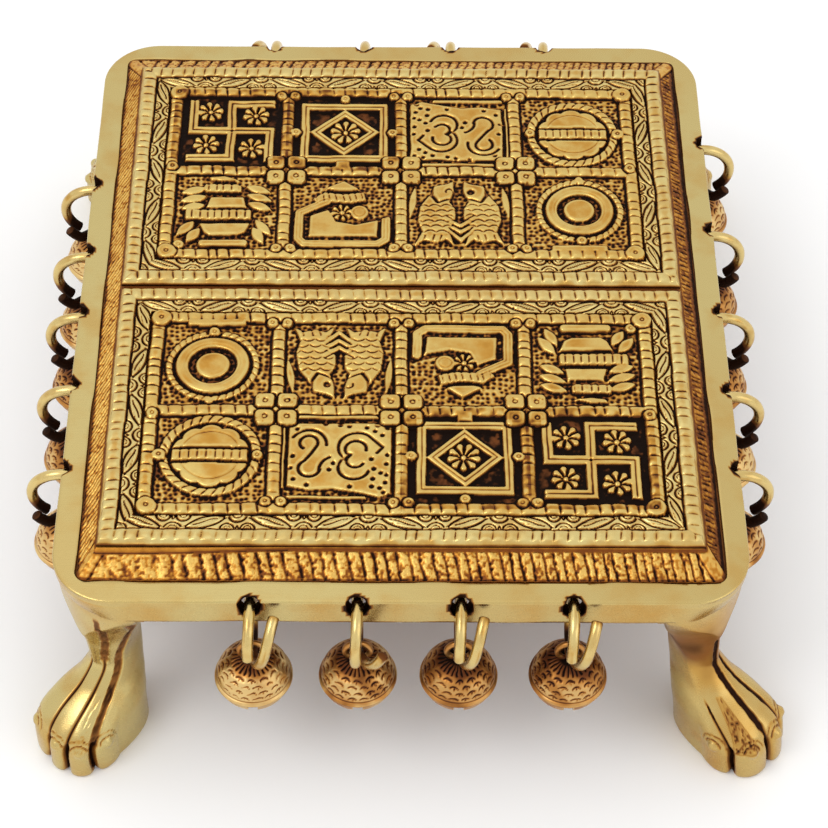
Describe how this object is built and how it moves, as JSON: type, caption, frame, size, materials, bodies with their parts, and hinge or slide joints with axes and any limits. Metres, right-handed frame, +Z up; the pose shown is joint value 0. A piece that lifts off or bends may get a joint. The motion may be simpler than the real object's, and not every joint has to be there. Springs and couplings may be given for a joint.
{
  "type": "low table",
  "caption": "Low brass table on paw legs, with relief panels set in a ribbed bed and small bells hanging on rings along each side.",
  "frame": {"origin": "on the ground, under the centre of the table top", "axes": "+X to the right of the side in the picture, +Y from that side to the far side, +Z up"},
  "size_m": [0.1708, 0.1962, 0.06],
  "materials": {
    "polished_brass": "filed and polished",
    "ribbed_brass": "as cast, dark in the grooves",
    "relief_brass": "wiped, with dark patina in the recesses",
    "brass_wire": "drawn wire",
    "bell_brass": "engraved and aged",
    "iron_pellet": "plain"
  },
  "bodies": {
    "table": {"stand": "polished_brass", "ribbed_bed": "ribbed_brass", "relief_panel_front": "relief_brass", "relief_panel_rear": "relief_brass"},
    "ring_front_1": {"ring_front_1": "brass_wire"},
    "bell_front_1": {"bell_front_1": "bell_brass"},
    "pellet_front_1": {"pellet_front_1": "iron_pellet"},
    "ring_front_2": {"ring_front_2": "brass_wire"},
    "bell_front_2": {"bell_front_2": "bell_brass"},
    "pellet_front_2": {"pellet_front_2": "iron_pellet"},
    "ring_front_3": {"ring_front_3": "brass_wire"},
    "bell_front_3": {"bell_front_3": "bell_brass"},
    "pellet_front_3": {"pellet_front_3": "iron_pellet"},
    "ring_front_4": {"ring_front_4": "brass_wire"},
    "bell_front_4": {"bell_front_4": "bell_brass"},
    "pellet_front_4": {"pellet_front_4": "iron_pellet"},
    "ring_rear_1": {"ring_rear_1": "brass_wire"},
    "bell_rear_1": {"bell_rear_1": "bell_brass"},
    "pellet_rear_1": {"pellet_rear_1": "iron_pellet"},
    "ring_rear_2": {"ring_rear_2": "brass_wire"},
    "bell_rear_2": {"bell_rear_2": "bell_brass"},
    "pellet_rear_2": {"pellet_rear_2": "iron_pellet"},
    "ring_rear_3": {"ring_rear_3": "brass_wire"},
    "bell_rear_3": {"bell_rear_3": "bell_brass"},
    "pellet_rear_3": {"pellet_rear_3": "iron_pellet"},
    "ring_rear_4": {"ring_rear_4": "brass_wire"},
    "bell_rear_4": {"bell_rear_4": "bell_brass"},
    "pellet_rear_4": {"pellet_rear_4": "iron_pellet"},
    "ring_left_1": {"ring_left_1": "brass_wire"},
    "bell_left_1": {"bell_left_1": "bell_brass"},
    "pellet_left_1": {"pellet_left_1": "iron_pellet"},
    "ring_left_2": {"ring_left_2": "brass_wire"},
    "bell_left_2": {"bell_left_2": "bell_brass"},
    "pellet_left_2": {"pellet_left_2": "iron_pellet"},
    "ring_left_3": {"ring_left_3": "brass_wire"},
    "bell_left_3": {"bell_left_3": "bell_brass"},
    "pellet_left_3": {"pellet_left_3": "iron_pellet"},
    "ring_left_4": {"ring_left_4": "brass_wire"},
    "bell_left_4": {"bell_left_4": "bell_brass"},
    "pellet_left_4": {"pellet_left_4": "iron_pellet"},
    "ring_left_5": {"ring_left_5": "brass_wire"},
    "bell_left_5": {"bell_left_5": "bell_brass"},
    "pellet_left_5": {"pellet_left_5": "iron_pellet"},
    "ring_right_1": {"ring_right_1": "brass_wire"},
    "bell_right_1": {"bell_right_1": "bell_brass"},
    "pellet_right_1": {"pellet_right_1": "iron_pellet"},
    "ring_right_2": {"ring_right_2": "brass_wire"},
    "bell_right_2": {"bell_right_2": "bell_brass"},
    "pellet_right_2": {"pellet_right_2": "iron_pellet"},
    "ring_right_3": {"ring_right_3": "brass_wire"},
    "bell_right_3": {"bell_right_3": "bell_brass"},
    "pellet_right_3": {"pellet_right_3": "iron_pellet"},
    "ring_right_4": {"ring_right_4": "brass_wire"},
    "bell_right_4": {"bell_right_4": "bell_brass"},
    "pellet_right_4": {"pellet_right_4": "iron_pellet"},
    "ring_right_5": {"ring_right_5": "brass_wire"},
    "bell_right_5": {"bell_right_5": "bell_brass"},
    "pellet_right_5": {"pellet_right_5": "iron_pellet"}
  },
  "joints": [
    {"name": "ring_front_1_swing", "type": "hinge", "parent": "table", "child": "ring_front_1", "pos_m": [-0.03277, -0.0891, 0.05245], "axis": [0, -1, 0], "range_deg": [-10, 10]},
    {"name": "bell_front_1_swing", "type": "hinge", "parent": "ring_front_1", "child": "bell_front_1", "pos_m": [-0.03277, -0.0891, 0.03755], "axis": [1, 0, 0], "range_deg": [-18, 18]},
    {"name": "pellet_front_1_rattle", "type": "slide", "parent": "bell_front_1", "child": "pellet_front_1", "axis": [0, 0, 1], "range_m": [0, 0.006]},
    {"name": "ring_front_2_swing", "type": "hinge", "parent": "table", "child": "ring_front_2", "pos_m": [-0.00953, -0.0891, 0.05245], "axis": [0, -1, 0], "range_deg": [-10, 10]},
    {"name": "bell_front_2_swing", "type": "hinge", "parent": "ring_front_2", "child": "bell_front_2", "pos_m": [-0.00953, -0.0891, 0.03755], "axis": [1, 0, 0], "range_deg": [-18, 18]},
    {"name": "pellet_front_2_rattle", "type": "slide", "parent": "bell_front_2", "child": "pellet_front_2", "axis": [0, 0, 1], "range_m": [0, 0.006]},
    {"name": "ring_front_3_swing", "type": "hinge", "parent": "table", "child": "ring_front_3", "pos_m": [0.01295, -0.0891, 0.05245], "axis": [0, -1, 0], "range_deg": [-10, 10]},
    {"name": "bell_front_3_swing", "type": "hinge", "parent": "ring_front_3", "child": "bell_front_3", "pos_m": [0.01295, -0.0891, 0.03755], "axis": [1, 0, 0], "range_deg": [-18, 18]},
    {"name": "pellet_front_3_rattle", "type": "slide", "parent": "bell_front_3", "child": "pellet_front_3", "axis": [0, 0, 1], "range_m": [0, 0.006]},
    {"name": "ring_front_4_swing", "type": "hinge", "parent": "table", "child": "ring_front_4", "pos_m": [0.03734, -0.0891, 0.05245], "axis": [0, -1, 0], "range_deg": [-10, 10]},
    {"name": "bell_front_4_swing", "type": "hinge", "parent": "ring_front_4", "child": "bell_front_4", "pos_m": [0.03734, -0.0891, 0.03755], "axis": [1, 0, 0], "range_deg": [-18, 18]},
    {"name": "pellet_front_4_rattle", "type": "slide", "parent": "bell_front_4", "child": "pellet_front_4", "axis": [0, 0, 1], "range_m": [0, 0.006]},
    {"name": "ring_rear_1_swing", "type": "hinge", "parent": "table", "child": "ring_rear_1", "pos_m": [-0.03277, 0.0891, 0.05245], "axis": [0, 1, 0], "range_deg": [-10, 10]},
    {"name": "bell_rear_1_swing", "type": "hinge", "parent": "ring_rear_1", "child": "bell_rear_1", "pos_m": [-0.03277, 0.0891, 0.03755], "axis": [-1, 0, 0], "range_deg": [-18, 18]},
    {"name": "pellet_rear_1_rattle", "type": "slide", "parent": "bell_rear_1", "child": "pellet_rear_1", "axis": [0, 0, 1], "range_m": [0, 0.006]},
    {"name": "ring_rear_2_swing", "type": "hinge", "parent": "table", "child": "ring_rear_2", "pos_m": [-0.00953, 0.0891, 0.05245], "axis": [0, 1, 0], "range_deg": [-10, 10]},
    {"name": "bell_rear_2_swing", "type": "hinge", "parent": "ring_rear_2", "child": "bell_rear_2", "pos_m": [-0.00953, 0.0891, 0.03755], "axis": [-1, 0, 0], "range_deg": [-18, 18]},
    {"name": "pellet_rear_2_rattle", "type": "slide", "parent": "bell_rear_2", "child": "pellet_rear_2", "axis": [0, 0, 1], "range_m": [0, 0.006]},
    {"name": "ring_rear_3_swing", "type": "hinge", "parent": "table", "child": "ring_rear_3", "pos_m": [0.01295, 0.0891, 0.05245], "axis": [0, 1, 0], "range_deg": [-10, 10]},
    {"name": "bell_rear_3_swing", "type": "hinge", "parent": "ring_rear_3", "child": "bell_rear_3", "pos_m": [0.01295, 0.0891, 0.03755], "axis": [-1, 0, 0], "range_deg": [-18, 18]},
    {"name": "pellet_rear_3_rattle", "type": "slide", "parent": "bell_rear_3", "child": "pellet_rear_3", "axis": [0, 0, 1], "range_m": [0, 0.006]},
    {"name": "ring_rear_4_swing", "type": "hinge", "parent": "table", "child": "ring_rear_4", "pos_m": [0.03734, 0.0891, 0.05245], "axis": [0, 1, 0], "range_deg": [-10, 10]},
    {"name": "bell_rear_4_swing", "type": "hinge", "parent": "ring_rear_4", "child": "bell_rear_4", "pos_m": [0.03734, 0.0891, 0.03755], "axis": [-1, 0, 0], "range_deg": [-18, 18]},
    {"name": "pellet_rear_4_rattle", "type": "slide", "parent": "bell_rear_4", "child": "pellet_rear_4", "axis": [0, 0, 1], "range_m": [0, 0.006]},
    {"name": "ring_left_1_swing", "type": "hinge", "parent": "table", "child": "ring_left_1", "pos_m": [-0.0764, 0.03796, 0.05245], "axis": [-1, 0, 0], "range_deg": [-10, 10]},
    {"name": "bell_left_1_swing", "type": "hinge", "parent": "ring_left_1", "child": "bell_left_1", "pos_m": [-0.0764, 0.03796, 0.03755], "axis": [0, -1, 0], "range_deg": [-18, 18]},
    {"name": "pellet_left_1_rattle", "type": "slide", "parent": "bell_left_1", "child": "pellet_left_1", "axis": [0, 0, 1], "range_m": [0, 0.006]},
    {"name": "ring_left_2_swing", "type": "hinge", "parent": "table", "child": "ring_left_2", "pos_m": [-0.0764, 0.01511, 0.05245], "axis": [-1, 0, 0], "range_deg": [-4.5, 4.5]},
    {"name": "bell_left_2_swing", "type": "hinge", "parent": "ring_left_2", "child": "bell_left_2", "pos_m": [-0.0764, 0.01511, 0.03755], "axis": [0, -1, 0], "range_deg": [-18, 18]},
    {"name": "pellet_left_2_rattle", "type": "slide", "parent": "bell_left_2", "child": "pellet_left_2", "axis": [0, 0, 1], "range_m": [0, 0.006]},
    {"name": "ring_left_3_swing", "type": "hinge", "parent": "table", "child": "ring_left_3", "pos_m": [-0.0764, -0.00462, 0.05245], "axis": [-1, 0, 0], "range_deg": [-4.5, 4.5]},
    {"name": "bell_left_3_swing", "type": "hinge", "parent": "ring_left_3", "child": "bell_left_3", "pos_m": [-0.0764, -0.00462, 0.03755], "axis": [0, -1, 0], "range_deg": [-18, 18]},
    {"name": "pellet_left_3_rattle", "type": "slide", "parent": "bell_left_3", "child": "pellet_left_3", "axis": [0, 0, 1], "range_m": [0, 0.006]},
    {"name": "ring_left_4_swing", "type": "hinge", "parent": "table", "child": "ring_left_4", "pos_m": [-0.0764, -0.0272, 0.05245], "axis": [-1, 0, 0], "range_deg": [-10, 10]},
    {"name": "bell_left_4_swing", "type": "hinge", "parent": "ring_left_4", "child": "bell_left_4", "pos_m": [-0.0764, -0.0272, 0.03755], "axis": [0, -1, 0], "range_deg": [-18, 18]},
    {"name": "pellet_left_4_rattle", "type": "slide", "parent": "bell_left_4", "child": "pellet_left_4", "axis": [0, 0, 1], "range_m": [0, 0.006]},
    {"name": "ring_left_5_swing", "type": "hinge", "parent": "table", "child": "ring_left_5", "pos_m": [-0.0764, -0.05201, 0.05245], "axis": [-1, 0, 0], "range_deg": [-10, 10]},
    {"name": "bell_left_5_swing", "type": "hinge", "parent": "ring_left_5", "child": "bell_left_5", "pos_m": [-0.0764, -0.05201, 0.03755], "axis": [0, -1, 0], "range_deg": [-18, 18]},
    {"name": "pellet_left_5_rattle", "type": "slide", "parent": "bell_left_5", "child": "pellet_left_5", "axis": [0, 0, 1], "range_m": [0, 0.006]},
    {"name": "ring_right_1_swing", "type": "hinge", "parent": "table", "child": "ring_right_1", "pos_m": [0.0764, 0.05352, 0.05245], "axis": [1, 0, 0], "range_deg": [-10, 10]},
    {"name": "bell_right_1_swing", "type": "hinge", "parent": "ring_right_1", "child": "bell_right_1", "pos_m": [0.0764, 0.05352, 0.03755], "axis": [0, 1, 0], "range_deg": [-18, 18]},
    {"name": "pellet_right_1_rattle", "type": "slide", "parent": "bell_right_1", "child": "pellet_right_1", "axis": [0, 0, 1], "range_m": [0, 0.006]},
    {"name": "ring_right_2_swing", "type": "hinge", "parent": "table", "child": "ring_right_2", "pos_m": [0.0764, 0.0232, 0.05245], "axis": [1, 0, 0], "range_deg": [-10, 10]},
    {"name": "bell_right_2_swing", "type": "hinge", "parent": "ring_right_2", "child": "bell_right_2", "pos_m": [0.0764, 0.0232, 0.03755], "axis": [0, 1, 0], "range_deg": [-18, 18]},
    {"name": "pellet_right_2_rattle", "type": "slide", "parent": "bell_right_2", "child": "pellet_right_2", "axis": [0, 0, 1], "range_m": [0, 0.006]},
    {"name": "ring_right_3_swing", "type": "hinge", "parent": "table", "child": "ring_right_3", "pos_m": [0.0764, -0.00373, 0.05245], "axis": [1, 0, 0], "range_deg": [-10, 10]},
    {"name": "bell_right_3_swing", "type": "hinge", "parent": "ring_right_3", "child": "bell_right_3", "pos_m": [0.0764, -0.00373, 0.03755], "axis": [0, 1, 0], "range_deg": [-18, 18]},
    {"name": "pellet_right_3_rattle", "type": "slide", "parent": "bell_right_3", "child": "pellet_right_3", "axis": [0, 0, 1], "range_m": [0, 0.006]},
    {"name": "ring_right_4_swing", "type": "hinge", "parent": "table", "child": "ring_right_4", "pos_m": [0.0764, -0.02827, 0.05245], "axis": [1, 0, 0], "range_deg": [-10, 10]},
    {"name": "bell_right_4_swing", "type": "hinge", "parent": "ring_right_4", "child": "bell_right_4", "pos_m": [0.0764, -0.02827, 0.03755], "axis": [0, 1, 0], "range_deg": [-18, 18]},
    {"name": "pellet_right_4_rattle", "type": "slide", "parent": "bell_right_4", "child": "pellet_right_4", "axis": [0, 0, 1], "range_m": [0, 0.006]},
    {"name": "ring_right_5_swing", "type": "hinge", "parent": "table", "child": "ring_right_5", "pos_m": [0.0764, -0.05156, 0.05245], "axis": [1, 0, 0], "range_deg": [-10, 10]},
    {"name": "bell_right_5_swing", "type": "hinge", "parent": "ring_right_5", "child": "bell_right_5", "pos_m": [0.0764, -0.05156, 0.03755], "axis": [0, 1, 0], "range_deg": [-18, 18]},
    {"name": "pellet_right_5_rattle", "type": "slide", "parent": "bell_right_5", "child": "pellet_right_5", "axis": [0, 0, 1], "range_m": [0, 0.006]}
  ]
}
